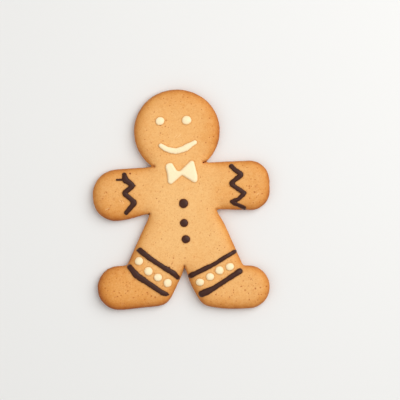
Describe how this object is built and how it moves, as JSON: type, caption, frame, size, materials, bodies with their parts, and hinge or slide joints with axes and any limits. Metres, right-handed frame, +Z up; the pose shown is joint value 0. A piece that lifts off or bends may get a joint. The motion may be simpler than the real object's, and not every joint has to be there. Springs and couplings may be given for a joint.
{
  "type": "gingerbread man biscuit",
  "caption": "Flat baked biscuit in the shape of a little man, decorated with piped white and dark icing as a face, bow tie, buttons and bands.",
  "frame": {"origin": "centre of the biscuit's outline box, on its flat underside", "axes": "+Z up, out of the iced face; +Y from the feet to the head; +X to the right as seen from above with the head at the top"},
  "size_m": [0.0957, 0.1198, 0.0089],
  "materials": {
    "crust": "matte baked gingerbread crust, golden tan, deeper brown towards the rim",
    "white_icing": "cream-white set icing, soft sheen",
    "dark_icing": "dark chocolate-brown set icing, satin"
  },
  "bodies": {
    "root": {"biscuit": "crust", "eye_left": "white_icing", "eye_right": "white_icing", "smile": "white_icing", "bow_tie": "white_icing", "button_1": "dark_icing", "button_2": "dark_icing", "button_3": "dark_icing", "zigzag_left": "dark_icing", "zigzag_right": "dark_icing", "band_left_upper": "dark_icing", "band_left_lower": "dark_icing", "band_right_upper": "dark_icing", "band_right_lower": "dark_icing", "dot_left_1": "white_icing", "dot_left_2": "white_icing", "dot_left_3": "white_icing", "dot_left_4": "white_icing", "dot_right_1": "white_icing", "dot_right_2": "white_icing", "dot_right_3": "white_icing", "dot_right_4": "white_icing"}
  },
  "joints": []
}
